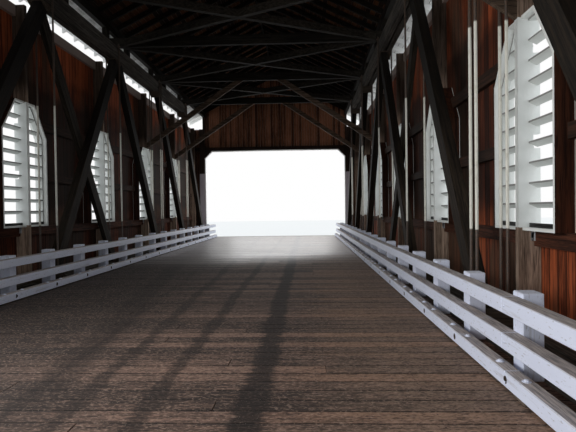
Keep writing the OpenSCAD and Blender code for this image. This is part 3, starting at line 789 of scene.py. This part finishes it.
# Windows: sloping slats in dusty white paint inside a frame of five boards. The slats' edges are
# painted grey as shade, the lowest slat is painted dark inside as the shade under it, and the
# frame's outer edges are bare timber. The portals' lining has the same paint.
between_portals, slat_inside, frame_inside = 12.5, 4.76, 4.83
trim = Finish("window_paint", 0.5)
x, y, z = trim.xyz
dust = trim.noise(3.2, 4)
fine = trim.noise(70, 3, stretch=(1, 0.2, 1))
dusty = trim.step(dust, 0.45, 0.72)
skin = trim.mix(dusty * 0.25, colour(244, 245, 243), colour(212, 212, 206))
slats = abs(y) < between_portals
skin = trim.mix(slats * 0.7, skin, colour(192, 196, 192))
# painted shade: the slats' narrow edges are grey, as they face away from the light
edges = (abs(trim.facing()[0]) > 0.7) * slats
skin = trim.mix(edges * 0.85, skin, colour(118, 116, 114))
# painted shade: the lowest slat's inner part is dark, for the shadow in the gap above the sill
lowest = (z < deck_z + 1.335) * (abs(x) < slat_inside) * slats
skin = trim.mix(lowest, skin, colour(22, 19, 17))
trim_finish = trim.wear(skin, 0.45 + dust * 0.15, fine, 0.0008)
finish_nodes(trim_finish, "louvers_left", "louvers_right", "portal_lining")
frames, bare, relief = timber(
    "window_frame_timber", colour(84, 48, 32), colour(30, 17, 12), "Z", patch=0.3,
)
x, y, z = frames.xyz
facing_y, facing_z = frames.facing()[1:]
off_middle = (y / panel).fraction() - 0.5
outward = (facing_y * off_middle > 0.02) + (facing_z > 0.5) * (z > deck_z + 4.05)
outward = outward.reckon("MINIMUM", outward, 1.0) * (abs(x) < frame_inside)
dust = frames.noise(3.2, 4)
dusty = frames.step(dust, 0.45, 0.72)
paint = frames.mix(dusty * 0.25, colour(242, 244, 241), colour(212, 213, 207))
skin = frames.mix(outward, paint, bare)
frame_finish = frames.wear(skin, 0.5 + dust * 0.15, relief * outward, 0.002)
finish_nodes(frame_finish, "window_frames_left", "window_frames_right")

# Upper bracing: beams and level braces over the road and knee braces down to the wall posts,
# rough sawn and dark with age.
for name, node, light, dark in (
    ("cross_beam_timber", "cross_beams", colour(50, 45, 38), colour(13, 11, 9)),
    ("lateral_timber", "lateral_braces", colour(62, 56, 48), colour(19, 16, 13)),
    ("knee_timber", "knee_braces", colour(122, 102, 86), colour(46, 38, 31)),
):
    wood, skin, relief = timber(name, light, dark, "X", patch=0.4)
    finish_nodes(wood.wear(skin, height=relief), node)

# Roof timbers: plates on the cross beams, blocks and close rafters on the plates, and the ridge
# board, dark inside. The rafters are painted white where they pass the walls.
rafters_painted_from = 4.16
for name, names, along in (
    ("roof_plate_timber", ("roof_plates", "ridge_board"), "Y"),
    ("rafter_timber", ("rafters_left", "rafters_right"), "X"),
    ("plate_block_timber", ("plate_blocks",), "Z"),
):
    wood, skin, relief = timber(name, colour(42, 35, 27), colour(7, 6, 4), along, patch=0.4)
    if along == "X":
        eaves = abs(wood.xyz[0]) > rafters_painted_from
        skin = wood.mix(eaves, skin, colour(246, 246, 245))
    finish_nodes(wood.wear(skin, height=relief), *names)

# Roof: boards nailed along the bridge over the rafters, with gaps between them, and split
# shingles laid over the boards in courses, each lapping nearly half over the one below.
pitch_angle = math.radians(26.5)
cover_thickness = 0.072
ridge_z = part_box("ridge_cap")[1].z - cover_thickness / math.cos(pitch_angle)
roof_low, roof_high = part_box("roof_right")
roof_length = roof_high.y - roof_low.y
slope_length = roof_high.x / math.cos(pitch_angle)
lay = Matrix.Translation((0, 0, ridge_z)) @ Matrix.Rotation(pitch_angle, 4, "Y")
sheath, skin, relief = timber(
    "sheathing_timber", colour(104, 66, 40), colour(34, 21, 14), "Y", patch=0.35, board=0.4,
)
boards_painted_from = 4.3
eaves = abs(sheath.xyz[0]) > boards_painted_from
skin = sheath.mix(eaves, skin, colour(246, 246, 245))
sheath_finish = sheath.wear(skin, height=relief)
shingle = Finish("shingles", 0.9)
own = shingle.own_tone()
fibre = shingle.noise(60, 3, stretch=(0.08, 1, 0.08))
damp = shingle.step(shingle.noise(0.9, 4), 0.52, 0.7)
skin = shingle.mix(own * 0.6 + fibre * 0.5, colour(84, 78, 70), colour(138, 130, 118))
skin = shingle.mix(damp * 0.3, skin, colour(76, 78, 58))
shingle_finish = shingle.wear(skin, height=fibre, depth=0.002)
roof_board, half_board_gap, board_top, set_back = 0.155, 0.006, 0.02, 0.011
shingle_length, shingle_width, shingle_gap = 0.27, 0.136, 0.004
tip_thickness, butt_low, butt_high = 0.004, 0.014, 0.026
exposure, eaves_reach, course_shift = 0.14, 0.298, 0.37
for hand, turn in (("right", 0), ("left", math.pi)):
    half_turn = Matrix.Rotation(turn, 4, "Z")
    boxes = []
    count = round(slope_length / roof_board)
    step = (slope_length - set_back) / count
    for k in range(count):
        joints = sorted(random.uniform(roof_low.y + 2, roof_high.y - 2) for _ in range(4))
        joints = [roof_low.y, *joints, roof_high.y]
        for start, end in zip(joints, joints[1:]):
            corner = (k * step + half_board_gap, start + 0.001, 0.0005)
            boxes.append((corner, (k * step + step - half_board_gap, end - 0.001, board_top)))
    under = boards("roof_boards_" + hand, board_model(0.002), boxes, half_turn @ lay)
    under.data.materials.append(sheath_finish)

    bpy.ops.mesh.primitive_cube_add(size=1, location=(0, 0, 0))
    cover = bpy.context.object
    for point in cover.data.vertices:
        tip, up = point.co.x < 0, point.co.z > 0
        point.co.x = 0.0 if tip else shingle_length
        point.co.y *= shingle_width
        point.co.z = (tip_thickness if up else 0.0) if tip else (butt_high if up else butt_low)
    cover.data.attributes.new("board", "FLOAT", "FACE")
    in_course = int(roof_length / (shingle_width + shingle_gap))
    width = roof_length / in_course
    courses = int((slope_length - 0.3) / exposure) + 1
    spreads = (("row", in_course, (0, width, 0)), ("course", courses, (exposure, 0, 0)))
    for label, number, offset in spreads:
        spread = cover.modifiers.new(label, "ARRAY")
        spread.count = number
        spread.use_relative_offset = False
        spread.use_constant_offset = True
        spread.constant_offset_displace = offset
    bpy.context.view_layer.objects.active = cover
    for label, number, offset in spreads:
        bpy.ops.object.modifier_apply(modifier=label)
    start = slope_length - eaves_reach - (courses - 1) * exposure
    for k in range(len(cover.data.vertices) // 8):
        shift = random.uniform(-0.008, 0.0)
        course = k // in_course
        stagger = (course * course_shift % 1 - 0.5) * width * 0.9
        lift = random.uniform(0, 0.002)
        for corner in range(8 * k, 8 * k + 8):
            point = cover.data.vertices[corner].co
            point.x += start + shift
            y = point.y + roof_low.y + width / 2 + stagger
            point.y = min(max(y, roof_low.y), roof_high.y)
            point.z += board_top + 0.0005 + lift
    tones = [0.0] * len(cover.data.polygons)
    for k in range(len(tones) // 6):
        tones[6 * k:6 * k + 6] = [random.random()] * 6
    cover.data.attributes["board"].data.foreach_set("value", tones)
    cover.data.transform(half_turn @ lay)
    cover.name = "shingles_" + hand
    cover.data.materials.append(shingle_finish)
    for piece in (under, cover):
        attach(piece, "root")
    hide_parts("roof_" + hand)
finish_nodes(shingle_finish, "ridge_cap")

# Portals: a frame of posts and a beam, painted up to the opening's corners, and upright boards
# that are bare inside, darker towards the opening, and battened and painted white outside.
gable_board, within_gable = 0.15, 14.372
paint_top, paint_side = deck_z + 3.67, 4.36
surround, skin, relief = timber(
    "portal_frame_timber", colour(66, 50, 42), colour(24, 18, 15), "Z", patch=0.4,
)
x, z = surround.xyz[::2]
painted = (z < paint_top) * (abs(x) < paint_side)
paint = surround.mix(surround.noise(2.2, 4), colour(206, 200, 208), colour(184, 176, 184))
skin = surround.mix(painted, skin, paint)
finish_nodes(surround.wear(skin, height=relief), "portal_frame_near", "portal_frame_far")
gable, skin, relief = timber(
    "portal_board_timber", colour(166, 112, 84), colour(66, 42, 31), "Z", patch=0.3, board=0.3,
)
y, z = gable.xyz[1:]
lower = 1 - gable.step(z, deck_z + 4.9, deck_z + 5.6)
skin = gable.mix(lower * 0.5, skin, colour(20, 12, 9))
skin = gable.mix(abs(y) > within_gable, skin, outside_paint(gable))
gable_finish = gable.wear(skin, height=relief)
for node in ("portal_boards_near", "portal_boards_far"):
    end_boards = battened("end_boards_" + node.split("_")[2], node, 1, gable_board, 0.022)
    end_boards.data.materials.clear()
    end_boards.data.materials.append(gable_finish)
    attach(end_boards, "root")
    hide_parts(node)
